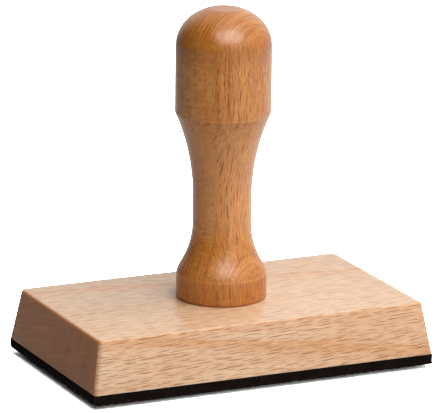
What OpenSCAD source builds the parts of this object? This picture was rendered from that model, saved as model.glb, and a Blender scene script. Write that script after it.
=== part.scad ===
// Hand stamp. A turned beech handle is screwed to a beech block whose four sides lean in.
// A sheet of foam and a rubber die are taped below the block.
// X runs along the block, Y from front to back. The origin is under the middle of the block,
// on the surface that the die stands on.

/* [Base block] */
// Length of the block's underside
block_l = 106; // [70:1:150]
// Width of the block's underside, front to back
block_w = 62.5; // [45:0.5:90]
// Height of the wood
block_h = 15; // [12:0.5:24]
// How far the top edges stand in from the bottom edges, on each side
block_lean = 2.5; // [0:0.1:5]
// Radius of the eased top edges and slanting corners
block_ease = 1.2; // [0.5:0.1:3]

/* [Handle foot] */
// Diameter of the foot ring
foot_d = 26; // [22:0.5:34]
// Height of the foot ring's straight side
foot_h = 7.2; // [3:0.1:12]
// Radius of the round shoulder above the foot ring
shoulder_r = 12.8; // [8:0.1:16]
// Angle from upright at which the shoulder leaves the foot ring, in degrees
shoulder_angle = 16; // [5:1:30]
// Radius of the hollow between the shoulder and the neck
cove_r = 22.7; // [16:0.1:40]
// Diameter of the neck
neck_d = 17; // [12:0.5:20]
// Length of the neck's straight part
neck_h = 8; // [2:0.5:20]

/* [Handle grip] */
// Radius of the long hollow from the neck up to the grip
taper_r = 60; // [40:1:100]
// Diameter of the grip
grip_d = 27.6; // [24:0.2:31]
// Height of the grip's straight side
grip_h = 19; // [10:1:40]
// Radius of the curve from the grip's side into the dome
dome_edge_r = 10.8; // [4:0.1:11.5]
// Radius of the dome over its middle
dome_r = 15.9; // [15.6:0.1:30]
// Diameter of the flat that the lathe leaves on the crown
crown_d = 9; // [2:0.5:12]

/* [Screw] */
// Diameter of the screw's shank
screw_d = 4; // [3:0.5:5]
// Diameter of the core that the thread winds round
screw_core_d = 2.8; // [2:0.1:2.9]
// Length of the screw, with its head
screw_l = 35; // [30:1:45]
// Length of the threaded part, with its point
thread_l = 22; // [12:1:22]
// Length of the point
point_l = 3.5; // [2:0.5:5]
// Diameter of the countersunk head
head_d = 8; // [6:0.5:10]
// Thickness of the head's rim
head_rim = 0.4; // [0.2:0.1:0.8]
// Width of the driver slot
slot_w = 1; // [0.6:0.1:1.5]
// Depth of the driver slot
slot_deep = 1; // [0.5:0.1:1.5]
// How deep the head lies below the block's underside
head_sink = 0.3; // [0.1:0.1:1]
// Play between the shank and its hole in the block, on each side
shank_play = 0.2; // [0.1:0.05:0.5]
// Play between the head and its countersink, on each side
head_play = 0.05; // [0.02:0.01:0.2]
// Play between the core and its hole in the handle, on each side
core_play = 0.05; // [0.02:0.01:0.2]
// Spare depth of the hole in the handle, past the point
hole_spare = 2; // [0.5:0.5:5]

/* [Cushion] */
// Thickness of the foam cushion
cushion_h = 3; // [1.5:0.1:6]
// How far the cushion's cut edge stands in from the block's edge
cushion_in = 0.2; // [0:0.1:3]
// Thickness of each adhesive film
film_h = 0.15; // [0.05:0.05:0.3]

/* [Rubber die] */
// How far the die's edge stands in from the cushion's edge
die_in = 3; // [1:0.5:8]
// Thickness of the die's backing
die_base_h = 0.6; // [0.4:0.1:2]
// Height of the raised printing lines
relief_h = 0.6; // [0.3:0.1:1.5]
// Radius of the die's corners
die_corner_r = 1.5; // [0.5:0.1:4]
// Bare margin between the die's edge and the printed frame
frame_in = 1.5; // [0.5:0.1:4]
// Width of the frame's thick line
frame_line = 1.2; // [0.6:0.1:2.5]
// Width of the thin lines
thin_line = 0.6; // [0.4:0.1:1.2]
// Gap between the thick line and the thin line inside it
frame_gap = 1; // [0.5:0.1:3]
// Height of the heading field, at the back of the die
heading_h = 12; // [6:1:16]
// Number of ruled lines below the heading
rules = 4; // [1:1:7]
// Number of columns below the heading
columns = 3; // [1:1:5]

/* [Hidden] */
$fn = 96;
hull_fn = 32;
bite = 1;
arc_step = 1.2;

// Heights of the layers, from the printing face up
die_z = relief_h;
die_film_z = die_z + die_base_h;
cushion_z = die_film_z + film_h;
cushion_film_z = cushion_z + cushion_h;
block_z = cushion_film_z + film_h;
handle_z = block_z + block_h;

// Outlines of the layers
cushion_l = block_l - 2 * cushion_in;
cushion_w = block_w - 2 * cushion_in;
cushion_corner_r = max(block_ease - cushion_in, block_ease / 4);
die_l = cushion_l - 2 * die_in;
die_w = cushion_w - 2 * die_in;

// Centres of the eased top corners, set so that the sides run straight down to the bottom edges
lean_angle = atan(block_lean / block_h);
top_corner_in = (block_ease + (block_h - block_ease) * sin(lean_angle)) / cos(lean_angle);

// Printed lines: the frames step inward from the die's edge, and the fields fill the inner one
inner_in = frame_in + frame_line + frame_gap;
field_l = die_l - 2 * inner_in;
field_w = die_w - 2 * inner_in;
heading_y = field_w / 2 - heading_h;
body_w = heading_y + field_w / 2;
rule_step = body_w / (rules + 1);
column_step = field_l / columns;

// Handle profile, in millimetres above the handle's foot
shoulder_x = foot_d / 2 - shoulder_r * cos(shoulder_angle);
shoulder_z = foot_h - shoulder_r * sin(shoulder_angle);
cove_x = neck_d / 2 + cove_r;
cove_z = shoulder_z + sqrt(pow(shoulder_r + cove_r, 2) - pow(cove_x - shoulder_x, 2));
blend_angle = atan2(cove_z - shoulder_z, cove_x - shoulder_x);
taper_z = cove_z + neck_h;
taper_angle = acos(1 - (grip_d - neck_d) / (2 * taper_r));
grip_z = taper_z + taper_r * sin(taper_angle);
dome_z = grip_z + grip_h;
edge_x = grip_d / 2 - dome_edge_r;
dome_centre_z = dome_z - sqrt(pow(dome_r - dome_edge_r, 2) - edge_x * edge_x);
join_angle = atan2(dome_z - dome_centre_z, edge_x);
crown_angle = acos(crown_d / (2 * dome_r));
crown_z = dome_centre_z + dome_r * sin(crown_angle);

// Screw, from the underside of its head
head_z = block_z + head_sink;
head_cone_h = (head_d - screw_d) / 2;
thread_z = screw_l - thread_l;
hole_l = head_sink + screw_l - block_h + hole_spare;

// Flat slab with round corners, standing on z = 0
module slab(l, w, h, r) {
    linear_extrude(h) {
        square([l - 2 * r, w], center = true);
        square([l, w - 2 * r], center = true);
        for (x = [-1, 1], y = [-1, 1])
            translate([x * (l / 2 - r), y * (w / 2 - r)]) circle(r);
    }
}

// Rectangular outline of one printed line width, its outer edge set in from the die's edge
module printed_frame(edge_in, line) {
    difference() {
        square([die_l - 2 * edge_in, die_w - 2 * edge_in], center = true);
        square([die_l - 2 * edge_in - 2 * line, die_w - 2 * edge_in - 2 * line], center = true);
    }
}

// Lines inside the frame: a heading field over ruled rows in columns
module printed_fields() {
    translate([0, heading_y]) square([field_l, thin_line], center = true);
    for (i = [1 : rules])
        translate([0, heading_y - i * rule_step]) square([field_l, thin_line], center = true);
    for (i = [1 : 1 : columns - 1])
        translate([i * column_step - field_l / 2, heading_y - body_w / 2])
            square([thin_line, body_w], center = true);
}

// Rubber die: a thin backing with raised printing lines on its underside
module rubber_die() {
    color("#3a3634") union() {
        translate([0, 0, die_z]) slab(die_l, die_w, die_base_h, die_corner_r);
        linear_extrude(die_z + die_base_h / 2) {
            printed_frame(frame_in, frame_line);
            printed_frame(inner_in - thin_line, thin_line);
            printed_fields();
        }
    }
}

// Double-sided film between the die and the cushion
module die_film() {
    color("#d9cfae") translate([0, 0, die_film_z]) slab(die_l, die_w, film_h, die_corner_r);
}

// Foam cushion that lets the die follow the paper
module cushion() {
    color("#1b1816") translate([0, 0, cushion_z])
        slab(cushion_l, cushion_w, cushion_h, cushion_corner_r);
}

// Double-sided film between the cushion and the block
module cushion_film() {
    color("#e6dcc0") translate([0, 0, cushion_film_z])
        slab(cushion_l, cushion_w, film_h, cushion_corner_r);
}

// Top corner of the block. The post lifts the top face to the full height, which a faceted
// sphere just misses
module top_corner() {
    sphere(block_ease, $fn = hull_fn);
    cylinder(h = block_ease, r = block_ease / 4, $fn = hull_fn);
}

// Outer form of the block: sides that lean in, with eased top edges and corners
module block_body() {
    hull() {
        for (x = [-1, 1], y = [-1, 1]) {
            translate([x * (block_l / 2 - block_ease), y * (block_w / 2 - block_ease), 0])
                cylinder(h = 0.01, r = block_ease, $fn = hull_fn);
            translate([
                x * (block_l / 2 - top_corner_in),
                y * (block_w / 2 - top_corner_in),
                block_h - block_ease
            ]) top_corner();
        }
    }
}

// Base block, with the screw's clearance hole and countersink
module base_block() {
    color("#e8c9a4") translate([0, 0, block_z]) difference() {
        block_body();
        translate([0, 0, -bite]) cylinder(h = block_h + 2 * bite, d = screw_d + 2 * shank_play);
        translate([0, 0, -bite]) cylinder(h = bite + head_sink + head_rim, d = head_d + 2 * head_play);
        translate([0, 0, head_sink + head_rim])
            cylinder(h = head_cone_h, d1 = head_d + 2 * head_play, d2 = screw_d + 2 * head_play);
    }
}

// Countersunk wood screw that draws the handle down on the block
module handle_screw() {
    color("silver") translate([0, 0, head_z]) difference() {
        union() {
            cylinder(h = head_rim, d = head_d);
            translate([0, 0, head_rim]) cylinder(h = head_cone_h, d1 = head_d, d2 = screw_d);
            cylinder(h = thread_z, d = screw_d);
            cylinder(h = screw_l - point_l, d = screw_core_d);
            translate([0, 0, screw_l - point_l]) cylinder(h = point_l, d1 = screw_core_d, d2 = 0.4);
        }
        translate([-head_d, -slot_w / 2, -bite]) cube([2 * head_d, slot_w, slot_deep + bite]);
    }
}

// Points of an arc, in steps of about arc_step. The first one is left out where the line before ends on it
function arc(x, z, r, from, to, first = 0) =
    let (n = ceil(abs(to - from) * PI / 180 * r / arc_step))
    [for (i = [first : n]) let (a = from + (to - from) * i / n) [x + r * cos(a), z + r * sin(a)]];

// Half of the handle's outline, from the foot up: shoulder, hollow, neck, long hollow, grip and dome
module handle_profile() {
    polygon(concat(
        [[0, 0], [foot_d / 2, 0]],
        arc(shoulder_x, shoulder_z, shoulder_r, shoulder_angle, blend_angle),
        arc(cove_x, cove_z, cove_r, blend_angle + 180, 180, first = 1),
        arc(neck_d / 2 + taper_r, taper_z, taper_r, 180, 180 - taper_angle),
        arc(edge_x, dome_z, dome_edge_r, 0, join_angle),
        arc(0, dome_centre_z, dome_r, join_angle, crown_angle, first = 1),
        [[0, crown_z]]
    ));
}

// Turned handle, with the hole that the screw bites into
module handle() {
    color("#b9783f") translate([0, 0, handle_z]) difference() {
        rotate_extrude() handle_profile();
        translate([0, 0, -bite]) cylinder(h = bite + hole_l, d = screw_core_d + 2 * core_play);
        translate([0, 0, hole_l])
            cylinder(h = screw_core_d / 2, d1 = screw_core_d + 2 * core_play, d2 = 0.2);
    }
}

rubber_die();
die_film();
cushion();
cushion_film();
base_block();
handle_screw();
handle();
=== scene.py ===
"""Hand stamp: a lacquered beech handle on a bare beech block, with foam and a rubber die below."""

import math

import bmesh
import bpy
from bpy.props import FloatProperty, FloatVectorProperty, IntProperty, PointerProperty
from mathutils import Matrix, Vector


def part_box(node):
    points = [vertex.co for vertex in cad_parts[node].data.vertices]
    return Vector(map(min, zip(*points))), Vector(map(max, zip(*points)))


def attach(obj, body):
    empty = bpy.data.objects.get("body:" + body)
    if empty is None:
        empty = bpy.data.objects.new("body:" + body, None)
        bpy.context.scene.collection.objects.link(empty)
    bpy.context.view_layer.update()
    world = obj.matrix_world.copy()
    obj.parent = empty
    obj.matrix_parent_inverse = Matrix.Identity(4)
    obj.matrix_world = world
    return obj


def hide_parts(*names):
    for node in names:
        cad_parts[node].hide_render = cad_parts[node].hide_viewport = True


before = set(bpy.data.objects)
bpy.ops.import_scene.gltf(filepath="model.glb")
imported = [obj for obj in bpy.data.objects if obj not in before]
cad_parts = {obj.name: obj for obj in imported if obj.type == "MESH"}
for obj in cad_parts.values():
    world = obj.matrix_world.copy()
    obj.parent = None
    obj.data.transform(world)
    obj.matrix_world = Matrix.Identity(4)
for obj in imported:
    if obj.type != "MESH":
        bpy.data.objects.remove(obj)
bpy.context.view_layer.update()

bl_info = {
    "name": "Beech Hand Stamp",
    "version": (1, 0, 0),
    "blender": (4, 5, 0),
    "location": "View3D > Sidebar > Hand Stamp",
    "description": "Models and finishes a beech hand stamp round its packed solids",
    "category": "Object",
}

MM = 0.001
BODY = "root"

# Points that are nearer to each other than this are merged
WELD = 0.001 * MM

# A point that is nearer than this to a ring, an edge or a face counts as lying on it
NEAR = 0.02 * MM

# Sockets of the Mix node and its result, when it mixes colours and when it mixes values
MIX_FACTOR = 0
COLOUR_A, COLOUR_B, COLOUR_RESULT = 6, 7, 2
VALUE_A, VALUE_B, VALUE_RESULT = 2, 3, 0


def linear(hex_colour):
    """Scene-linear colour, with full alpha, of an sRGB hex value."""
    channels = [int(hex_colour[i : i + 2], 16) / 255 for i in (1, 3, 5)]
    return (*[c / 12.92 if c <= 0.04045 else ((c + 0.055) / 1.055) ** 2.4 for c in channels], 1.0)


def length(name, description, millimetres):
    """Property for a length, given in millimetres and kept in metres."""
    return FloatProperty(name=name, description=description, unit="LENGTH", precision=5,
                         default=millimetres * MM)


def angle(name, description, degrees):
    """Property for an angle, given in degrees and kept in radians."""
    return FloatProperty(name=name, description=description, subtype="ANGLE", default=math.radians(degrees))


def colour(name, description, hex_colour):
    """Property for a colour, given as an sRGB hex value and kept scene-linear."""
    return FloatVectorProperty(name=name, description=description, subtype="COLOR", size=4,
                               min=0.0, max=1.0, default=linear(hex_colour))


class StampHandle(bpy.types.PropertyGroup):
    """Turned profile of the handle, from its foot up"""

    foot_d: length("Foot diameter", "Diameter of the foot ring", 26)
    foot_h: length("Foot height", "Height of the foot ring's straight side", 7.2)
    shoulder_r: length("Shoulder radius", "Radius of the round shoulder above the foot ring", 12.8)
    shoulder_angle: angle("Shoulder angle", "Angle at which the shoulder leaves the foot ring", 16)
    cove_r: length("Cove radius", "Radius of the hollow between the shoulder and the neck", 22.7)
    neck_d: length("Neck diameter", "Diameter of the neck", 17)
    neck_h: length("Neck length", "Length of the neck's straight part", 8)
    taper_r: length("Taper radius", "Radius of the long hollow from the neck up to the grip", 60)
    grip_d: length("Grip diameter", "Diameter of the grip", 27.6)
    grip_h: length("Grip height", "Height of the grip's straight side", 19)
    dome_edge_r: length("Dome edge radius", "Radius of the curve from the grip's side into the dome", 10.8)
    dome_r: length("Dome radius", "Radius of the dome over its middle", 15.9)
    crown_d: length("Crown flat", "Diameter of the flat that the lathe leaves on the crown", 9)
    hole_d: length("Screw hole", "Diameter of the hole that the screw bites into", 2.9)
    hole_l: length("Hole depth", "Depth of that hole", 22.3)
    arris: length("Arris", "Width of the softened turned edges", 0.35)
    steps: IntProperty(name="Steps", description="Facets round the handle", default=144, min=48, max=256)


class StampBlock(bpy.types.PropertyGroup):
    """Base block and what the sander left of its edges"""

    lean: length("Lean", "How far the top edges stand in from the bottom edges", 2.5)
    corner: length("Corner", "Width of the eased slanting corners", 1.4)
    arris: length("Arris", "Width of the eased top edges", 0.7)
    hole_d: length("Screw hole", "Diameter of the screw's clearance hole", 4.4)
    sink_d: length("Countersink", "Diameter of the countersink in the underside", 8.1)
    sink_h: length("Countersink rim", "Depth of the countersink's straight rim", 0.7)


class StampFoam(bpy.types.PropertyGroup):
    """Foam cushion, cut from sheet"""

    lean: length("Lean", "How far the cut leans out towards the right at its foot", 0.4)
    waver: length("Waver", "How far the cut edge wavers", 0.35)
    waver_size: length("Waver length", "Distance between two wavers of the cut edge", 9)
    step: length("Step", "Distance between two points along the cut edge", 1.2)


class StampScrew(bpy.types.PropertyGroup):
    """Thread of the wood screw"""

    core_d: length("Core diameter", "Diameter of the core that the thread winds round", 2.8)
    thread_d: length("Thread diameter", "Diameter over the thread", 3.9)
    pitch: length("Pitch", "Rise of the thread in one turn", 1.8)
    thread_l: length("Thread length", "Length of the threaded part, from the shank up to the point", 18.5)
    shank_l: length("Shank length", "Length of the head and the plain shank", 13)


class StampColours(bpy.types.PropertyGroup):
    """Colours of the woods, the rubbers, the films and the steel"""

    side_light: colour("Side, light", "Bare beech between its flecks, on the long sides", "#E0B996")
    side_dark: colour("Side, dark", "Warmer bands of bare beech, on the long sides", "#D5A47A")
    # The top's two tones are the sides' wood made paler and pinker: a painted sheen, the white surroundings
    # seen in its gloss at a grazing angle
    top_sheen_light: colour("Top, light", "Bare beech between its flecks, on the top", "#D5C6AF")
    top_sheen_dark: colour("Top, dark", "Warmer bands of bare beech, on the top", "#CEB491")
    bare_pale: colour("Bare, pale streaks", "Pale streaks between the ray ends", "#F1D8B8")
    bare_fleck: colour("Bare, flecks", "Ray ends on the long sides and the top", "#8C4212")
    bare_ring: colour("Bare, growth ring", "Late wood of a growth ring, and handled wood", "#D19865")
    # The growth ring's colour also warms the band along the top edges and the whole top
    end_light: colour("End grain, light", "Bare beech across the grain", "#C98858")
    end_dark: colour("End grain, dark", "Late wood across the grain", "#AF693B")
    end_ray: colour("End grain, rays", "Rays that end on the sawn face", "#A6715A")
    end_grey: colour("End grain, patches", "Greyer patches of the sawn face", "#B57F63")
    # A painted highlight: the eased top edge of the sawn ends, lit from above, drawn lighter and more
    # orange than the end grain
    end_arris_highlight: colour("End grain, arris", "Worn top edge of the sawn ends", "#DB8C48")
    lacquer_light: colour("Lacquered, light", "Lacquered beech between its flecks", "#CC8236")
    lacquer_dark: colour("Lacquered, dark", "Late wood under lacquer", "#B96E28")
    # Pale fibres, and also the painted highlight on the turned arrises
    lacquer_pale_and_highlight: colour("Lacquered, pale streaks", "Pale fibres under lacquer", "#D9954A")
    # Ray ends and pores, and also painted shade: a dark line round the foot's lower edge and a darker crown
    lacquer_fleck_and_shade: colour("Lacquered, flecks", "Ray ends, pores and soaked edges under lacquer", "#984E04")
    # Painted light: the neck drawn paler, as if lit from below
    lacquer_neck_painted_light: colour("Lacquered, thin", "Thin lacquer on the neck", "#DA995E")
    # Darker growth rings over the dome and the shoulder, and painted shade on the foot, the dome and the
    # faces that look up
    lacquer_rings_and_shade: colour("Lacquered, thick", "Thick lacquer on the foot and the dome", "#965415")
    foam: colour("Foam", "Black cellular rubber", "#110A07")
    foam_cell: colour("Foam cells", "Cell walls on a cut edge, and dust on rubber and zinc", "#2E211C")
    rubber: colour("Die rubber", "Dark grey rubber of the die", "#3A3634")
    film: colour("Film", "Adhesive film seen on its edge", "#E6DCC0")
    steel: colour("Zinc", "Zinc plating on the screw", "#B9BCBE")
    floor: colour("Floor", "White table and backdrop", "#FFFFFF")


def add_node(tree, kind, sockets=None, **settings):
    """Adds one node with its settings, its socket values and the links that come into it."""
    made = tree.nodes.new(kind)
    for name, value in settings.items():
        setattr(made, name, value)
    for name, value in (sockets or {}).items():
        if isinstance(value, bpy.types.NodeSocket):
            tree.links.new(value, made.inputs[name])
        else:
            made.inputs[name].default_value = value
    return made


def new_material(name):
    """Empty material with its node tree."""
    material = bpy.data.materials.new(name)
    material.use_nodes = True
    material.node_tree.nodes.clear()
    return material, material.node_tree


def mask(tree, *parts):
    """Strength of a layer: the product of its parts. A part is a number, a value that varies, or a soft
    step of one, given in brackets as the value, the two points between which it turns, and what it turns
    from and to, which are 0 and 1 if they aren't given."""
    shown = None
    for part in parts:
        if isinstance(part, tuple):
            value, start, end, *ends = part
            low, high = ends or (0.0, 1.0)
            sockets = {"Value": value, "From Min": start, "From Max": end, "To Min": low, "To Max": high}
            step = add_node(tree, "ShaderNodeMapRange", sockets, interpolation_type="SMOOTHSTEP")
            part = step.outputs["Result"]
        if shown is None:
            shown = part
        else:
            shown = add_node(tree, "ShaderNodeMath", {0: shown, 1: part}, operation="MULTIPLY").outputs[0]
    return shown


def layered(tree, base, *layers):
    """Base colour with layers painted over it in turn, each a mask and the colour that it shows."""
    for shown, over in layers:
        sockets = {MIX_FACTOR: shown, COLOUR_A: base, COLOUR_B: over}
        base = add_node(tree, "ShaderNodeMix", sockets, data_type="RGBA").outputs[COLOUR_RESULT]
    return base


def cloudy(tree, place, size, detail=2.0, roughness=0.5, turn=(0.0, 0.0, 0.0), output="Fac"):
    """Soft noise whose blots have the given size in metres along each axis, before they are turned."""
    sockets = {"Vector": place, "Rotation": turn, "Scale": size}
    stretched = add_node(tree, "ShaderNodeMapping", sockets, vector_type="TEXTURE").outputs["Vector"]
    sockets = {"Vector": stretched, "Scale": 1.0, "Detail": detail, "Roughness": roughness}
    return add_node(tree, "ShaderNodeTexNoise", sockets).outputs[output]


def wavered(tree, place, size, amount):
    """Coordinates pushed to and fro by soft noise, over the given distance in metres along each axis."""
    noise = cloudy(tree, place, size, output="Color")
    centred = add_node(tree, "ShaderNodeVectorMath", {0: noise, 1: (0.5, 0.5, 0.5)}, operation="SUBTRACT")
    push = add_node(tree, "ShaderNodeVectorMath", {0: centred.outputs[0], 1: amount}, operation="MULTIPLY")
    moved = add_node(tree, "ShaderNodeVectorMath", {0: place, 1: push.outputs[0]}, operation="ADD")
    return moved.outputs[0]


def along_axis(tree, place, direction, unit, shift=0.0):
    """Distance along a direction, counted in units of the given length in metres, and shifted."""
    reached = add_node(tree, "ShaderNodeVectorMath", {0: place, 1: direction}, operation="DOT_PRODUCT")
    sockets = {0: reached.outputs["Value"], 1: 1 / unit, 2: shift}
    return add_node(tree, "ShaderNodeMath", sockets, operation="MULTIPLY_ADD").outputs[0]


def flecks(tree, place, across, along, cell, fleck, shift=0.0):
    """Mask of dash-shaped ray ends, one in each cell of the wood. Cell and fleck are each a width and a
    length in metres. Wood rays are thin sheets, so the mask only changes across them and along the grain.
    Each dash has its own size and depth of colour."""
    flat = add_node(tree, "ShaderNodeCombineXYZ", {
        "X": along_axis(tree, place, across, cell[0], shift),
        "Y": along_axis(tree, place, along, cell[1], shift),
    }).outputs["Vector"]
    cells = add_node(tree, "ShaderNodeTexVoronoi", {"Vector": flat, "Scale": 1.0, "Randomness": 0.75},
                     voronoi_dimensions="2D").outputs
    away = add_node(tree, "ShaderNodeVectorMath", {0: flat, 1: cells["Position"]}, operation="SUBTRACT")
    halves = (2 * cell[0] / fleck[0], 2 * cell[1] / fleck[1], 0.0)
    away = add_node(tree, "ShaderNodeVectorMath", {0: away.outputs[0], 1: halves}, operation="MULTIPLY")
    away = add_node(tree, "ShaderNodeVectorMath", {0: away.outputs[0]}, operation="LENGTH").outputs["Value"]
    chance = add_node(tree, "ShaderNodeSeparateColor", {"Color": cells["Color"]}).outputs
    edge = mask(tree, (chance["Red"], 0.0, 1.0, 0.6, 1.0))
    return mask(tree, (away, mask(tree, edge, 0.7), edge, 1.0, 0.0), (chance["Green"], 0.0, 1.0, 0.6, 1.0))


def finished(tree, base, roughness, bump, bump_depth, **fixed):
    """Principled surface with its colour, roughness and a bump of the given depth in metres. The fixed
    values are set on its own sockets."""
    normal = add_node(tree, "ShaderNodeBump", {"Height": bump, "Distance": bump_depth, "Strength": 1.0})
    sockets = {"Base Color": base, "Roughness": roughness, "Normal": normal.outputs["Normal"]}
    surface = add_node(tree, "ShaderNodeBsdfPrincipled", sockets)
    for name, value in fixed.items():
        surface.inputs[name.replace("_", " ")].default_value = value
    add_node(tree, "ShaderNodeOutputMaterial", {"Surface": surface.outputs["BSDF"]})


# Height in millimetres of the block's top, on which the handle's foot stands, and the height above which
# the edges and the top of the bare wood are coloured warmer, and the sawn ends' top edge gets a painted
# highlight
BLOCK_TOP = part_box("base_block")[1].z / MM
TOP_BAND_Z = BLOCK_TOP - 0.3

# The growth ring that shows in the bare wood: how far its line drops for each unit along the block, and
# how wide, in millimetres, its soft side and its sharp edge are
RING_DROP = 0.14
RING_FADE, RING_EDGE = 5.5, 0.5

# Where along the block, in millimetres, its colour starts and stops growing darker towards the right end
DRIFT_START, DRIFT_END = -25.0, 45.0


def bare_beech(colours, name, light, dark, across, slant, coarse, depth, ring, drift):
    """Beech, planed, sanded smooth and waxed: steamed pinkish tan with a soft sheen, short dark ray ends
    that lie along the grain and pale streaks between them. Light and dark are its two tones. Across is
    the direction in the face that lies across the grain, slant the angle in degrees at which the ray ends
    leave the grain, and depth how strongly they show. Ring says how far across, in metres, a growth ring
    comes to the surface: a darker, warmer band with one sharp edge. Coarse draws the pattern wider across
    where the real one would be too fine to show. Drift is the share of the dark tone that is mixed in
    towards the right end, so that the face grows darker there."""
    material, tree = new_material(name)
    place = add_node(tree, "ShaderNodeTexCoord").outputs["Object"]
    across, grain_way = Vector(across), Vector((1, 0, 0))
    grain = wavered(tree, place, (24 * MM, 12 * MM, 12 * MM), across * 1.1 * MM)
    lean = math.tan(math.radians(slant))
    along, upright = grain_way + across * lean, across - grain_way * lean
    thick = Vector((1, 1, 1)) * MM + across * (coarse - 1) * MM
    wide = coarse * MM
    bands = cloudy(tree, grain, (40 * MM, 2.5 * thick.y, 2.5 * thick.z))
    fibres = cloudy(tree, grain, (5 * MM, 0.32 * thick.y, 0.32 * thick.z), roughness=0.6)
    long_flecks = flecks(tree, grain, upright, along, (0.95 * wide, 5.6 * MM), (0.24 * wide, 6.2 * MM))
    short_flecks = flecks(tree, grain, upright, along, (0.8 * wide, 4.4 * MM), (0.2 * wide, 4 * MM), 3.9)
    ring_line = along_axis(tree, grain, across + grain_way * RING_DROP, MM, -ring / MM)
    late_wood = mask(tree, (ring_line, -RING_FADE, 0.0), (ring_line, 0.0, RING_EDGE, 0.75, 0.0))
    up = along_axis(tree, place, (0, 0, 1), MM)
    right = along_axis(tree, place, grain_way, MM)
    base = layered(
        tree, light,
        (mask(tree, (bands, 0.36, 0.66, 0.0, 0.6)), dark),
        (mask(tree, (right, DRIFT_START, DRIFT_END, 0.0, drift)), dark),
        (late_wood, colours.bare_ring),
        (mask(tree, (fibres, 0.46, 0.28, 0.0, 0.5)), colours.bare_pale),
        (mask(tree, (fibres, 0.5, 0.78, 0.0, 0.15 * depth)), colours.bare_fleck),
        # Warmer band along the top edges, and warmer over the whole top
        (mask(tree, (up, TOP_BAND_Z - 1.1, TOP_BAND_Z, 0.0, 0.5)), colours.bare_ring),
        (mask(tree, long_flecks, depth), colours.bare_fleck),
        (mask(tree, short_flecks, 0.65 * depth), colours.bare_fleck),
    )
    finished(tree, base, 0.3, fibres, 0.006 * MM)
    return material


# How far the growth rings climb and the rays lean on the sawn ends, and between which places from back to
# front, in millimetres, the rays grow stronger
END_RING_CLIMB, END_RAY_LEAN = math.radians(-13), math.radians(4)
RAYS_FAINT, RAYS_STRONG = 14.0, -8.0


def bare_beech_end(colours):
    """Beech sawn across the grain and sanded: darker, because the open pores drink the light, with cloudy
    patches, fine growth rings that climb towards the front, and upright rays that show most near it."""
    material, tree = new_material("bare_beech_end")
    place = add_node(tree, "ShaderNodeTexCoord").outputs["Object"]
    grain = wavered(tree, place, (8 * MM, 8 * MM, 8 * MM), (0.0, 0.5 * MM, 0.5 * MM))
    rings = cloudy(tree, grain, (60 * MM, 14 * MM, 0.55 * MM), 2.0, 0.6, (END_RING_CLIMB, 0.0, 0.0))
    rays = cloudy(tree, grain, (20 * MM, 0.85 * MM, 14 * MM), 2.0, 0.6, (END_RAY_LEAN, 0.0, 0.0))
    patches = cloudy(tree, place, (30 * MM, 9 * MM, 6 * MM), 1.0)
    back = along_axis(tree, place, (0, 1, 0), MM)
    up = along_axis(tree, place, (0, 0, 1), MM)
    shown_rays = mask(tree, (rays, 0.45, 0.6, 0.0, 0.65), (back, RAYS_FAINT, RAYS_STRONG, 0.2, 1.0))
    base = layered(
        tree, colours.end_light,
        (mask(tree, (rings, 0.38, 0.66, 0.15, 0.65)), colours.end_dark),
        (shown_rays, colours.end_ray),
        (mask(tree, (patches, 0.5, 0.7, 0.0, 0.5)), colours.end_grey),
        # Painted highlight along the sawn ends' eased top edge
        (mask(tree, (up, TOP_BAND_Z - 0.9, TOP_BAND_Z - 0.3, 0.0, 0.9)), colours.end_arris_highlight),
    )
    grooves = add_node(tree, "ShaderNodeMath", {0: rays, 1: rings}, operation="ADD").outputs[0]
    finished(tree, base, 0.5, grooves, 0.01 * MM)
    return material


# How far the handle's wood rays are turned from the X axis, which way its grain runs, where its axis lies
# as seen from the tree's pith, how it leans there, and how far apart its growth rings are. The wave node
# repeats every 2 pi / 20 units
RAY_TURN = math.radians(27)
GRAIN_WAY = (0.05, -0.03, 1.0)
FROM_PITH = (35 * MM, -61 * MM, 0.0)
PITH_LEAN = (math.radians(3), math.radians(-2), 0.0)
RING_STEP = 2.8 * MM
WAVE_LENGTH = 2 * math.pi / 20

# Heights in millimetres between which painted shade darkens the foot and the dome, and painted light makes
# the neck paler, from below and from above
FOOT_FADE = (40.0, 24.0)
DOME_FADE = (87.0, 94.0)
NECK_BELOW, NECK_ABOVE = (36.0, 46.0), (76.0, 66.0)


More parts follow.
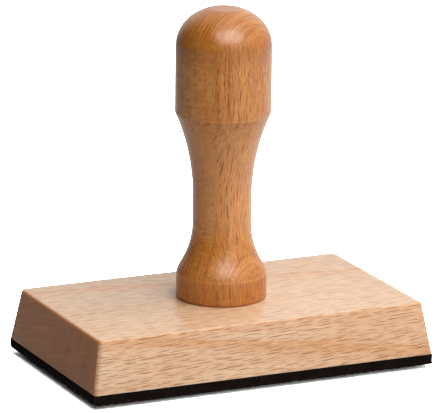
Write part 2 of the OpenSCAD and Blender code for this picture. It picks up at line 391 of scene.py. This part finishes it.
def lacquered_beech(colours, arrises):
    """Beech turned on a lathe and dipped in clear lacquer: the lacquer turns it orange brown, darkens the
    ray ends that run up the handle and gives a soft satin gloss. The wood's rays are upright sheets, so
    they show as thin dashes where the surface faces along them and as silky rungs where it faces across
    them. Growth rings show as upright lines, and as finer slanting ones over the dome and the foot's
    shoulder. Painted shade darkens the faces that look up, the foot, the dome and the crown's flat, and a
    thin line of painted shade lies round the foot's lower edge. Painted light makes the neck paler, and a
    pale painted highlight lies on the arrises at the given heights. The rungs start above the lower arris."""
    material, tree = new_material("lacquered_beech")
    spots = add_node(tree, "ShaderNodeTexCoord").outputs
    place, normal = spots["Object"], spots["Normal"]
    grain = wavered(tree, place, (9 * MM, 9 * MM, 16 * MM), (0.7 * MM, 0.7 * MM, 0.6 * MM))
    turn = (0.0, 0.0, RAY_TURN)
    across = Vector((math.cos(RAY_TURN), math.sin(RAY_TURN), 0.0))
    from_pith = add_node(tree, "ShaderNodeMapping", {
        "Vector": grain, "Location": FROM_PITH, "Rotation": PITH_LEAN,
    }).outputs["Vector"]
    rings = add_node(tree, "ShaderNodeTexWave", {
        "Vector": from_pith, "Scale": WAVE_LENGTH / RING_STEP,
        "Distortion": 1.0, "Detail": 2.0, "Detail Scale": 1.2,
    }, wave_type="RINGS", rings_direction="Z", wave_profile="SAW").outputs["Fac"]
    long_flecks = flecks(tree, grain, across, GRAIN_WAY, (2.2 * MM, 7 * MM), (0.36 * MM, 5.6 * MM))
    fine_flecks = flecks(tree, grain, across, GRAIN_WAY, (0.95 * MM, 3.9 * MM), (0.26 * MM, 3.2 * MM), 5.7)
    rungs = cloudy(tree, grain, (4 * MM, 3.2 * MM, 0.75 * MM), 2.0, 0.6, turn)
    fibres = cloudy(tree, grain, (0.45 * MM, 1.3 * MM, 7 * MM), 3.0, 0.7, turn)
    pores = cloudy(tree, place, (0.32 * MM, 0.32 * MM, 1.3 * MM), 1.0)
    ring_lines = cloudy(tree, grain, (9 * MM, 0.55 * MM, 14 * MM), 3.0, 0.6, turn)
    blotches = cloudy(tree, grain, (4 * MM, 4 * MM, 14 * MM))
    turned = along_axis(tree, normal, across, 1.0)
    side_on = add_node(tree, "ShaderNodeMath", {0: turned}, operation="ABSOLUTE").outputs[0]
    raised = along_axis(tree, normal, (0, 0, 1), 1.0)
    up = along_axis(tree, place, (0, 0, 1), MM)
    sloping = mask(tree, (raised, 0.25, 0.6))
    facing = mask(tree, (side_on, 0.82, 0.95, 1.0, 0.0), (raised, 0.25, 0.6, 1.0, 0.25))
    silky = mask(tree, (side_on, 0.88, 0.96), (up, arrises[0] - 0.5, arrises[0] + 1.5))
    foot = mask(tree, (up, *FOOT_FADE))
    base = layered(
        tree, colours.lacquer_light,
        (mask(tree, (rings, 0.5, 1.0, 0.0, 0.85)), colours.lacquer_dark),
        (mask(tree, (blotches, 0.42, 0.68, 0.0, 0.35)), colours.lacquer_dark),
        (mask(tree, (fibres, 0.48, 0.32, 0.0, 0.9)), colours.lacquer_pale_and_highlight),
        (mask(tree, (fibres, 0.52, 0.68, 0.0, 0.8), facing), colours.lacquer_fleck_and_shade),
        (mask(tree, (pores, 0.45, 0.3, 0.0, 0.5)), colours.lacquer_pale_and_highlight),
        (mask(tree, (pores, 0.55, 0.7, 0.0, 0.6)), colours.lacquer_fleck_and_shade),
        (mask(tree, (rungs, 0.48, 0.57, 0.0, 0.7), silky), colours.lacquer_pale_and_highlight),
        (mask(tree, (ring_lines, 0.5, 0.62, 0.0, 0.95), sloping), colours.lacquer_pale_and_highlight),
        (mask(tree, (ring_lines, 0.48, 0.38, 0.0, 0.75), sloping), colours.lacquer_rings_and_shade),
        # Painted shade on the faces that look up
        (mask(tree, sloping, 0.15), colours.lacquer_rings_and_shade),
        # Painted light on the neck
        (mask(tree, (up, *NECK_BELOW), (up, *NECK_ABOVE), 0.4), colours.lacquer_neck_painted_light),
        (mask(tree, long_flecks, facing), colours.lacquer_fleck_and_shade),
        (mask(tree, fine_flecks, facing, 0.85), colours.lacquer_fleck_and_shade),
        # Painted shade on the foot and on the dome
        (mask(tree, foot, 0.25), colours.lacquer_rings_and_shade),
        (mask(tree, (up, *DOME_FADE, 0.0, 0.42)), colours.lacquer_rings_and_shade),
        # Painted shade: a dark contact line round the foot's lower edge, where it meets the block
        (mask(tree, (up, BLOCK_TOP + 0.9, BLOCK_TOP + 0.2, 0.0, 0.95)), colours.lacquer_fleck_and_shade),
        # Painted shade darkening the crown's flat, which catches the lights above
        (mask(tree, (raised, 0.9, 0.98, 0.0, 0.35)), colours.lacquer_fleck_and_shade),
    )
    # Painted highlight: a pale line along each turned arris, where the edge catches the light
    for height in arrises:
        arris_highlight = mask(tree, (up, height - 0.6, height - 0.1), (up, height, height + 0.5, 0.4, 0.0))
        base = layered(tree, base, (arris_highlight, colours.lacquer_pale_and_highlight))
    roughness = mask(tree, (foot, 0.0, 1.0, 0.32, 0.5))
    finished(tree, base, roughness, fibres, 0.008 * MM, Coat_Weight=0.5, Coat_Roughness=0.22)
    return material


def black_foam(colours):
    """Black cellular rubber, cut with a knife: matt and nearly black, with fine cells that catch a little
    light. The cells are 0.4 mm across, drawn coarser than the real ones so that they show."""
    material, tree = new_material("black_foam_rubber")
    place = add_node(tree, "ShaderNodeTexCoord").outputs["Object"]
    cells = add_node(tree, "ShaderNodeTexVoronoi", {"Vector": place, "Scale": 1 / (0.4 * MM)})
    hollow = cells.outputs["Distance"]
    patches = cloudy(tree, place, (5 * MM, 5 * MM, 2 * MM))
    light = mask(tree, (hollow, 0.35, 0.75), (patches, 0.4, 0.7, 0.1, 0.6))
    base = layered(tree, colours.foam, (light, colours.foam_cell))
    finished(tree, base, 0.85, hollow, 0.12 * MM, Specular_IOR_Level=0.05)
    return material


def die_rubber(colours):
    """Vulcanised stamp rubber: dark grey and matt, with a dusty bloom and a fine grain from its mould."""
    material, tree = new_material("vulcanised_die_rubber")
    place = add_node(tree, "ShaderNodeTexCoord").outputs["Object"]
    bloom = cloudy(tree, place, (9 * MM, 9 * MM, 9 * MM), 4.0, 0.6)
    grain = cloudy(tree, place, (0.25 * MM, 0.25 * MM, 0.25 * MM))
    base = layered(tree, colours.rubber, (mask(tree, (bloom, 0.45, 0.8, 0.0, 0.35)), colours.foam_cell))
    finished(tree, base, mask(tree, (bloom, 0.3, 0.8, 0.5, 0.75)), grain, 0.01 * MM)
    return material


def adhesive_film(colours):
    """Double-sided polyester film with acrylic glue: a thin, slightly cloudy line of pale cream."""
    material, tree = new_material("adhesive_film")
    place = add_node(tree, "ShaderNodeTexCoord").outputs["Object"]
    cloud = cloudy(tree, place, (3 * MM, 3 * MM, 1 * MM), 3.0)
    base = layered(tree, colours.film, (mask(tree, (cloud, 0.3, 0.7, 0.0, 0.5)), colours.side_light))
    finished(tree, base, mask(tree, (cloud, 0.3, 0.7, 0.35, 0.5)), cloud, 0.005 * MM)
    return material


def zinc_plated_steel(colours):
    """Cold-headed steel, zinc plated: bright grey metal with faint cloudy spangle and turning marks."""
    material, tree = new_material("zinc_plated_steel")
    place = add_node(tree, "ShaderNodeTexCoord").outputs["Object"]
    spangle = cloudy(tree, place, (1.2 * MM, 1.2 * MM, 1.2 * MM), 3.0)
    marks = cloudy(tree, place, (4 * MM, 4 * MM, 0.1 * MM))
    base = layered(tree, colours.steel, (mask(tree, (spangle, 0.4, 0.7, 0.0, 0.3)), colours.foam_cell))
    finished(tree, base, mask(tree, (spangle, 0.3, 0.7, 0.25, 0.42)), marks, 0.005 * MM, Metallic=1.0)
    return material


def deselect():
    """Leaves object mode with nothing selected, because an operator acts on all that is selected."""
    if bpy.context.object and bpy.context.object.mode != "OBJECT":
        bpy.ops.object.mode_set(mode="OBJECT")
    bpy.ops.object.select_all(action="DESELECT")


def pick(piece, kind, test):
    """Selects in edit mode only the vertices, edges or faces that pass the test."""
    bpy.ops.mesh.select_mode(type=kind)
    bpy.ops.mesh.select_all(action="DESELECT")
    mesh = bmesh.from_edit_mesh(piece.data)
    parts = {"VERT": mesh.verts, "EDGE": mesh.edges, "FACE": mesh.faces}[kind]
    found = [part for part in parts if test(part)]
    for part in found:
        part.select_set(True)
    mesh.select_flush_mode()
    bmesh.update_edit_mesh(piece.data)
    if not found:
        raise RuntimeError(f"{piece.name}: nothing to select")


def settle(piece, name, material=None, smooth=30):
    """Merges a piece's doubled points, points its faces outwards, puts its place into its mesh, shades its
    curves smooth up to the given angle in degrees, and gives it its name and its material."""
    bpy.ops.object.mode_set(mode="EDIT")
    bpy.ops.mesh.select_all(action="SELECT")
    bpy.ops.mesh.remove_doubles(threshold=WELD)
    bpy.ops.mesh.normals_make_consistent(inside=False)
    bpy.ops.object.mode_set(mode="OBJECT")
    bpy.ops.object.transform_apply(location=True, rotation=True, scale=True)
    bpy.ops.object.shade_smooth_by_angle(angle=math.radians(smooth))
    piece.name = piece.data.name = name
    if material:
        piece.data.materials.append(material)


def dress(node, material):
    """Gives a packed node its material."""
    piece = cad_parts[node]
    if not piece.material_slots:
        piece.data.materials.append(material)
    for held in piece.material_slots:
        held.material = material


def lathe(points, steps):
    """Turns a profile of (radius, height) points, in metres, into a closed shape about the Z axis."""
    deselect()
    radius, height = points[0]
    bpy.ops.mesh.primitive_plane_add(size=MM, location=(radius, 0, height))
    piece = bpy.context.object
    bpy.ops.object.transform_apply(location=True, rotation=False, scale=False)
    bpy.ops.object.mode_set(mode="EDIT")
    bpy.ops.mesh.select_all(action="SELECT")
    bpy.ops.mesh.merge(type="CENTER")
    for (r0, z0), (r1, z1) in zip(points, points[1:]):
        bpy.ops.mesh.extrude_vertices_move(TRANSFORM_OT_translate={"value": (r1 - r0, 0, z1 - z0)})
    bpy.ops.mesh.select_all(action="SELECT")
    bpy.ops.mesh.spin(steps=steps, angle=2 * math.pi, center=(0, 0, 0), axis=(0, 0, 1))
    bpy.ops.mesh.select_all(action="SELECT")
    bpy.ops.mesh.remove_doubles(threshold=WELD)
    bpy.ops.mesh.normals_make_consistent(inside=False)
    return piece


def on_ring(edge, radius, height):
    """True for an edge of the turned ring at that radius and height."""
    return all(abs(v.co.z - height) < NEAR and abs(v.co.xy.length - radius) < NEAR for v in edge.verts)


# Length of one facet along the handle's arcs
PROFILE_STEP = 0.8 * MM


def arc(x, z, radius, start, end):
    """Points of an arc from one angle to another, in radians, without the first one."""
    count = math.ceil(abs(end - start) * radius / PROFILE_STEP)
    angles = [start + (end - start) * i / count for i in range(1, count + 1)]
    return [(x + radius * math.cos(a), z + radius * math.sin(a)) for a in angles]


def handle_profile(h, foot_z):
    """Half outline of the handle from the bottom of its screw hole, and its hard edges. Every point and
    every hard edge is a radius and a height."""
    foot_r, neck_r, grip_r, hole_r = h.foot_d / 2, h.neck_d / 2, h.grip_d / 2, h.hole_d / 2
    shoulder_x = foot_r - h.shoulder_r * math.cos(h.shoulder_angle)
    shoulder_z = foot_z + h.foot_h - h.shoulder_r * math.sin(h.shoulder_angle)
    cove_x = neck_r + h.cove_r
    cove_z = shoulder_z + math.sqrt((h.shoulder_r + h.cove_r) ** 2 - (cove_x - shoulder_x) ** 2)
    blend = math.atan2(cove_z - shoulder_z, cove_x - shoulder_x)
    taper_z = cove_z + h.neck_h
    taper_angle = math.acos(1 - (grip_r - neck_r) / h.taper_r)
    grip_z = taper_z + h.taper_r * math.sin(taper_angle)
    dome_z = grip_z + h.grip_h
    edge_x = grip_r - h.dome_edge_r
    dome_centre_z = dome_z - math.sqrt((h.dome_r - h.dome_edge_r) ** 2 - edge_x**2)
    join = math.atan2(dome_z - dome_centre_z, edge_x)
    crown = math.acos(h.crown_d / 2 / h.dome_r)
    crown_z = dome_centre_z + h.dome_r * math.sin(crown)
    points = [(0, foot_z + h.hole_l + hole_r), (hole_r, foot_z + h.hole_l), (hole_r, foot_z)]
    points += [(foot_r, foot_z), (foot_r, foot_z + h.foot_h)]
    points += arc(shoulder_x, shoulder_z, h.shoulder_r, h.shoulder_angle, blend)
    points += arc(cove_x, cove_z, h.cove_r, blend + math.pi, math.pi)
    points.append((neck_r, taper_z))
    points += arc(neck_r + h.taper_r, taper_z, h.taper_r, math.pi, math.pi - taper_angle)
    points.append((grip_r, dome_z))
    points += arc(edge_x, dome_z, h.dome_edge_r, 0, join)
    points += arc(0, dome_centre_z, h.dome_r, join, crown)
    points.append((0, crown_z))
    hard_edges = [(foot_r, foot_z), (foot_r, foot_z + h.foot_h), (grip_r, grip_z), (h.crown_d / 2, crown_z)]
    return points, hard_edges


class STAMP_OT_handle(bpy.types.Operator):
    """Turns the handle: its profile is spun, and its hard edges are eased"""

    bl_idname = "stamp.handle"
    bl_label = "Turned Handle"

    def execute(self, context):
        sizes = context.scene.stamp_handle
        points, hard_edges = handle_profile(sizes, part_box("handle")[0].z)
        piece = lathe(points, sizes.steps)
        pick(piece, "EDGE", lambda edge: any(on_ring(edge, *ring) for ring in hard_edges))
        bpy.ops.mesh.bevel(offset=sizes.arris, segments=3, affect="EDGES")
        arrises = [height / MM for radius, height in hard_edges[1:3]]
        settle(piece, "turned_handle", lacquered_beech(context.scene.stamp_colours, arrises))
        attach(piece, BODY)
        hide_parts("handle")
        return {"FINISHED"}


# Places of the block's three materials: the sides' wood, the same wood with a painted sheen for the top,
# and the end grain; and facets round its drilled hole. A face of the outside shows end grain where the X of
# its normal is over one limit, or over a lower one on the eased top edges. Any other face that looks up or
# down has the top's material, with its painted sheen
SIDE_WOOD, TOP_SHEEN_WOOD, END_WOOD = 0, 1, 2
HOLE_STEPS = 48
END_LIMIT, END_LIMIT_TOP = 0.9, 0.6
TOP_EDGE_LIMIT, TOP_LIMIT = 0.4, 0.7


class STAMP_OT_block(bpy.types.Operator):
    """Saws and sands the base block, and drills it for the screw"""

    bl_idname = "stamp.block"
    bl_label = "Base Block"

    def execute(self, context):
        sizes, colours = context.scene.stamp_block, context.scene.stamp_colours
        low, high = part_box("base_block")
        size = high - low
        deselect()
        bpy.ops.mesh.primitive_cube_add(size=1, location=(low + high) / 2, scale=size)
        block = bpy.context.object
        bpy.ops.object.transform_apply(location=True, rotation=True, scale=True)
        bpy.ops.object.mode_set(mode="EDIT")
        pick(block, "FACE", lambda face: face.normal.z > 0.9)
        inward = [1 - 2 * sizes.lean / side for side in size.xy]
        bpy.ops.transform.resize(value=(*inward, 1), center_override=(0, 0, high.z))
        pick(block, "EDGE", lambda edge: abs(edge.verts[0].co.z - edge.verts[1].co.z) > size.z / 2)
        bpy.ops.mesh.bevel(offset=sizes.corner, segments=4, affect="EDGES")
        pick(block, "EDGE", lambda edge: all(v.co.z > high.z - NEAR for v in edge.verts))
        bpy.ops.mesh.bevel(offset=sizes.arris, segments=4, affect="EDGES")
        bpy.ops.object.mode_set(mode="OBJECT")
        self.drill(block, sizes, low.z, high.z)
        settle(block, "beech_block")
        for wood in (
            bare_beech(colours, "bare_beech_side", colours.side_light, colours.side_dark, across=(0, 0, 1),
                       slant=2.8, coarse=1.0, depth=1.0, ring=13.9 * MM, drift=0.5),
            # The top's tones carry a painted sheen: paler and pinker than the sides
            bare_beech(colours, "bare_beech_top_painted_sheen", colours.top_sheen_light, colours.top_sheen_dark, across=(0, 1, 0),
                       slant=0.8, coarse=2.0, depth=0.85, ring=17 * MM, drift=0.0),
            bare_beech_end(colours),
        ):
            block.data.materials.append(wood)
        for face in block.data.polygons:
            outside = face.center.xy.length > size.y / 2
            limit = END_LIMIT_TOP if face.normal.z > TOP_EDGE_LIMIT else END_LIMIT
            face.material_index = TOP_SHEEN_WOOD if abs(face.normal.z) > TOP_LIMIT else SIDE_WOOD
            if outside and abs(face.normal.x) > limit:
                face.material_index = END_WOOD
        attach(block, BODY)
        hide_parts("base_block")
        return {"FINISHED"}

    def drill(self, block, sizes, bottom, top):
        """Takes the screw's clearance hole and its countersink out of the block."""
        hole_r, sink_r = sizes.hole_d / 2, sizes.sink_d / 2
        cone_z = bottom + sizes.sink_h
        points = [(0, bottom - MM), (sink_r, bottom - MM), (sink_r, cone_z)]
        points += [(hole_r, cone_z + sink_r - hole_r), (hole_r, top + MM), (0, top + MM)]
        drill = lathe(points, HOLE_STEPS)
        bpy.ops.object.mode_set(mode="OBJECT")
        deselect()
        bpy.context.view_layer.objects.active = block
        block.select_set(True)
        cut = block.modifiers.new("drill", "BOOLEAN")
        cut.operation, cut.object, cut.solver = "DIFFERENCE", drill, "EXACT"
        bpy.ops.object.modifier_apply(modifier=cut.name)
        bpy.data.objects.remove(drill)


# Length of the wavers that push the foam's cut edge along each axis, as a share of the given length
WAVER_STRETCH = {"X": 1.0, "Y": 1.3}


class STAMP_OT_cushion(bpy.types.Operator):
    """Cuts the foam cushion from sheet, with a slightly wavering edge"""

    bl_idname = "stamp.cushion"
    bl_label = "Foam Cushion"

    def execute(self, context):
        sizes, colours = context.scene.stamp_foam, context.scene.stamp_colours
        low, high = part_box("cushion")
        size = high - low
        deselect()
        bpy.ops.mesh.primitive_cube_add(size=1, location=(low + high) / 2, scale=size)
        foam = bpy.context.object
        bpy.ops.object.transform_apply(location=True, rotation=True, scale=True)
        bpy.ops.object.mode_set(mode="EDIT")
        cuts = [round(side / sizes.step) - 1 for side in size.xy] + [3]
        for axis, count in enumerate(cuts):
            pick(foam, "EDGE",
                 lambda edge: abs(edge.verts[0].co[axis] - edge.verts[1].co[axis]) > size[axis] / 2)
            bpy.ops.mesh.subdivide(number_cuts=count)
        pick(foam, "VERT", lambda vert: vert.co.z < low.z + NEAR)
        bpy.ops.transform.translate(value=(sizes.lean, 0, 0))
        bpy.ops.object.mode_set(mode="OBJECT")
        self.waver(foam, sizes, size)
        settle(foam, "foam_cushion", black_foam(colours))
        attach(foam, BODY)
        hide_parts("cushion")
        return {"FINISHED"}

    def waver(self, foam, sizes, size):
        """Lets the cut edge waver, and leaves the rest of the foam as it is."""
        inner_x, inner_y = (side / 2 - sizes.lean - NEAR for side in size.xy)
        cut = [v.index for v in foam.data.vertices if abs(v.co.x) > inner_x or abs(v.co.y) > inner_y]
        edge = foam.vertex_groups.new(name="cut_edge")
        edge.add(cut, 1.0, "REPLACE")
        for axis, stretch in WAVER_STRETCH.items():
            noise = bpy.data.textures.new("cut_waver_" + axis, "CLOUDS")
            noise.noise_scale = sizes.waver_size * stretch
            waver = foam.modifiers.new("waver_" + axis, "DISPLACE")
            waver.texture, waver.direction, waver.texture_coords = noise, axis, "LOCAL"
            waver.strength, waver.mid_level, waver.vertex_group = sizes.waver, 0.5, edge.name
            bpy.ops.object.modifier_apply(modifier=waver.name)
            bpy.data.textures.remove(noise)
        foam.vertex_groups.clear()


class STAMP_OT_films(bpy.types.Operator):
    """Finishes the two adhesive films"""

    bl_idname = "stamp.films"
    bl_label = "Adhesive Films"

    def execute(self, context):
        film = adhesive_film(context.scene.stamp_colours)
        for node in ("die_film", "cushion_film"):
            dress(node, film)
        return {"FINISHED"}


class STAMP_OT_die(bpy.types.Operator):
    """Finishes the rubber die"""

    bl_idname = "stamp.die"
    bl_label = "Rubber Die"

    def execute(self, context):
        dress("rubber_die", die_rubber(context.scene.stamp_colours))
        return {"FINISHED"}


# How deep the thread's root lies in the core, so that they join, half of the root's width as a share of
# the pitch, and facets in one turn of the thread
THREAD_BITE = 0.05 * MM
THREAD_ROOT = 0.22
THREAD_STEPS = 24


class STAMP_OT_screw(bpy.types.Operator):
    """Finishes the wood screw and winds its thread"""

    bl_idname = "stamp.screw"
    bl_label = "Wood Screw"

    def execute(self, context):
        sizes = context.scene.stamp_screw
        steel = zinc_plated_steel(context.scene.stamp_colours)
        dress("handle_screw", steel)
        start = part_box("handle_screw")[0].z + sizes.shank_l
        core_r, ridge_r = sizes.core_d / 2 - THREAD_BITE, sizes.thread_d / 2
        deselect()
        bpy.ops.mesh.primitive_circle_add(vertices=3, radius=1, fill_type="NGON",
                                          rotation=(math.pi / 2, 0, 0), location=(core_r, 0, start))
        thread = bpy.context.object
        bpy.ops.object.transform_apply(location=True, rotation=True, scale=True)
        root, flank = sizes.pitch * THREAD_ROOT, (core_r, ridge_r, core_r)
        for vert, radius, rise in zip(thread.data.vertices, flank, (-root, 0.0, root)):
            vert.co = (radius, 0, start + root + rise)
        wind = thread.modifiers.new("wind", "SCREW")
        turns = sizes.thread_l / sizes.pitch
        wind.angle, wind.screw_offset = 2 * math.pi * turns, sizes.thread_l - 2 * root
        wind.steps = wind.render_steps = round(THREAD_STEPS * turns)
        wind.use_smooth_shade = False
        bpy.ops.object.modifier_apply(modifier=wind.name)
        settle(thread, "screw_thread", steel, smooth=20)
        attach(thread, BODY)
        return {"FINISHED"}


# Side from which the soft surrounding light comes, how far towards it, from -1 to 1, the sky starts and
# ends to brighten, and its strength on the dim and the bright side
LIT_SIDE = (1.0, 0.0, 0.0)
FADE_START, FADE_END = -0.65, 0.1
DIM_SIDE, BRIGHT_SIDE = 0.0, 0.78

# Soft boxes: direction from the stamp, distance, width, height, watts, and whether they light the wood,
# show in its gloss, or both
SOFT_BOXES = {
    "front_box": ((0.15, -0.85, 0.5), 0.9, 0.6, 0.5, 1.1, True, False),
    "front_high_box": ((0.15, -0.59, 0.79), 0.9, 0.6, 0.5, 3.5, True, False),
    "shine_box": ((-0.08, -0.62, 0.78), 0.9, 0.8, 0.65, 6.0, False, True),
    "right_high_box": ((0.45, -0.12, 0.88), 0.9, 0.6, 0.5, 2.6, True, False),
    "back_right_box": ((0.6, 0.6, 0.53), 0.9, 0.6, 0.5, 0.28, True, True),
    "overhead_box": ((0.05, -0.33, 0.94), 0.65, 0.55, 0.5, 1.1, True, False),
}

# The camera as fitted to the photograph: its angles in degrees, how far off it stands, what it aims at,
# its lens and sensor in millimetres, and how near and how far it sees in metres
CAMERA_AZIMUTH, CAMERA_ELEVATION, CAMERA_ROLL = -25.019, 15.014, 0.656
CAMERA_DISTANCE = 1292.5 * MM
AIM_RIGHT, AIM_HEIGHT = -0.58 * MM, 45.95 * MM
FOCAL_LENGTH, SENSOR_WIDTH = 369.3, 36.0
CLIP_START, CLIP_END = 0.05, 20.0

# The table's side in metres, how far it lies below the stamp, and its brightness as it lights the wood.
# What the camera and the gloss see of it grows brighter to the right, between two places in millimetres
FLOOR_SIDE = 6.0
FLOOR_GAP = 0.02 * MM
TABLE_GREY = 0.35
SEEN_START, SEEN_END, SEEN_LEFT, SEEN_RIGHT = -64.0, -50.0, 1.0, 4.5
SHINE_START, SHINE_END, SHINE_LEFT, SHINE_RIGHT = -150.0, 100.0, 0.3, 0.8


def backdrop(floor_colour):
    """World that the camera sees as plain white. It lights the wood softly, less from the left."""
    world = bpy.data.worlds.new("studio")
    world.use_nodes = True
    tree = world.node_tree
    tree.nodes.clear()
    way = add_node(tree, "ShaderNodeTexCoord").outputs["Generated"]
    side = add_node(tree, "ShaderNodeVectorMath", {0: way, 1: LIT_SIDE}, operation="DOT_PRODUCT")
    glow = mask(tree, (side.outputs["Value"], FADE_START, FADE_END, DIM_SIDE, BRIGHT_SIDE))
    seen = add_node(tree, "ShaderNodeLightPath").outputs["Is Camera Ray"]
    strength = add_node(tree, "ShaderNodeMix", {MIX_FACTOR: seen, VALUE_A: glow, VALUE_B: 1.0})
    sky = add_node(tree, "ShaderNodeBackground", {
        "Color": floor_colour, "Strength": strength.outputs[VALUE_RESULT],
    })
    add_node(tree, "ShaderNodeOutputWorld", {"Surface": sky.outputs["Background"]})
    return world


def white_table(floor_colour):
    """Matt white table. The camera sees it burnt out to white, as a studio table is, with only the deep
    shadow by the stamp left, and less bright at the left, so that the shadow shows there. The wood gets
    no more light from it than from a grey one, and its gloss shows it brighter towards the right, where
    the light falls."""
    material, tree = new_material("white_table")
    place = add_node(tree, "ShaderNodeTexCoord").outputs["Object"]
    right = along_axis(tree, place, (1, 0, 0), MM)
    shine = mask(tree, (right, SHINE_START, SHINE_END, SHINE_LEFT, SHINE_RIGHT))
    seen = mask(tree, (right, SEEN_START, SEEN_END, SEEN_LEFT, SEEN_RIGHT))
    value = TABLE_GREY
    rays = add_node(tree, "ShaderNodeLightPath").outputs
    for ray, other in ((rays["Is Glossy Ray"], shine), (rays["Is Camera Ray"], seen)):
        sockets = {MIX_FACTOR: ray, VALUE_A: value, VALUE_B: other}
        value = add_node(tree, "ShaderNodeMix", sockets).outputs[VALUE_RESULT]
    tint = add_node(tree, "ShaderNodeVectorMath", {0: floor_colour[:3], 3: value}, operation="SCALE")
    surface = add_node(tree, "ShaderNodeBsdfDiffuse", {"Color": tint.outputs[0], "Roughness": 0.0})
    add_node(tree, "ShaderNodeOutputMaterial", {"Surface": surface.outputs["BSDF"]})
    return material


def camera_matrix():
    """Place and turn of the camera, from its three angles and the point that it aims at."""
    angles = (CAMERA_AZIMUTH, CAMERA_ELEVATION, CAMERA_ROLL)
    azimuth, elevation, roll = (math.radians(degrees) for degrees in angles)
    level = math.cos(elevation)
    back = Vector((math.sin(azimuth) * level, -math.cos(azimuth) * level, math.sin(elevation)))
    right = (-back).cross(Vector((0, 0, 1))).normalized()
    up = right.cross(-back)
    aim = right * AIM_RIGHT + Vector((0, 0, AIM_HEIGHT))
    across = right * math.cos(roll) + up * math.sin(roll)
    upward = up * math.cos(roll) - right * math.sin(roll)
    turn = Matrix((across, upward, back)).transposed().to_4x4()
    return Matrix.Translation(aim + back * CAMERA_DISTANCE) @ turn


class STAMP_OT_stage(bpy.types.Operator):
    """Sets the white table, the soft boxes, the backdrop and the camera"""

    bl_idname = "stamp.stage"
    bl_label = "Stage, Light and Camera"

    def execute(self, context):
        scene, white = context.scene, context.scene.stamp_colours.floor
        deselect()
        bpy.ops.mesh.primitive_plane_add(size=FLOOR_SIDE, location=(0, 0, -FLOOR_GAP))
        floor = bpy.context.object
        floor.name = "table"
        floor.data.materials.append(white_table(white))
        scene.world = backdrop(white)
        for name, (direction, distance, width, height, watts, lights, glosses) in SOFT_BOXES.items():
            way = Vector(direction).normalized()
            bpy.ops.object.light_add(type="AREA", location=way * distance + Vector((0, 0, AIM_HEIGHT)),
                                     rotation=(-way).to_track_quat("-Z", "Y").to_euler())
            box = bpy.context.object
            box.name, box.data.shape, box.data.energy = name, "RECTANGLE", watts
            box.data.size, box.data.size_y = width, height
            box.visible_camera, box.visible_diffuse, box.visible_glossy = False, lights, glosses
        bpy.ops.object.camera_add()
        scene.camera = bpy.context.object
        scene.camera.name = "camera"
        scene.camera.matrix_world = camera_matrix()
        scene.camera.data.lens, scene.camera.data.sensor_width = FOCAL_LENGTH, SENSOR_WIDTH
        scene.camera.data.clip_start, scene.camera.data.clip_end = CLIP_START, CLIP_END
        scene.view_settings.view_transform = "Standard"
        scene.view_settings.look = "None"
        return {"FINISHED"}


OPERATORS = (
    STAMP_OT_stage,
    STAMP_OT_handle,
    STAMP_OT_block,
    STAMP_OT_cushion,
    STAMP_OT_films,
    STAMP_OT_die,
    STAMP_OT_screw,
)

GROUPS = {
    "stamp_handle": StampHandle,
    "stamp_block": StampBlock,
    "stamp_foam": StampFoam,
    "stamp_screw": StampScrew,
    "stamp_colours": StampColours,
}


class STAMP_PT_panel(bpy.types.Panel):
    """Lists the stamp's steps, sizes and colours"""

    bl_label = "Hand Stamp"
    bl_space_type = "VIEW_3D"
    bl_region_type = "UI"
    bl_category = "Hand Stamp"

    def draw(self, context):
        for operator in OPERATORS:
            self.layout.operator(operator.bl_idname)
        for name, group in GROUPS.items():
            box = self.layout.box()
            box.label(text=group.__doc__)
            for field in group.__annotations__:
                box.prop(getattr(context.scene, name), field)


def register():
    """Registers the classes and hangs the settings on the scene."""
    for cls in (*GROUPS.values(), *OPERATORS, STAMP_PT_panel):
        bpy.utils.register_class(cls)
    for name, group in GROUPS.items():
        setattr(bpy.types.Scene, name, PointerProperty(type=group))


def unregister():
    """Takes the settings and the classes away again."""
    for name in GROUPS:
        delattr(bpy.types.Scene, name)
    for cls in (STAMP_PT_panel, *reversed(OPERATORS), *reversed(GROUPS.values())):
        bpy.utils.unregister_class(cls)


def main():
    """Makes the whole stamp and its stage."""
    register()
    for operator in OPERATORS:
        getattr(bpy.ops.stamp, operator.bl_idname.split(".")[1])()


if __name__ == "__main__":
    main()
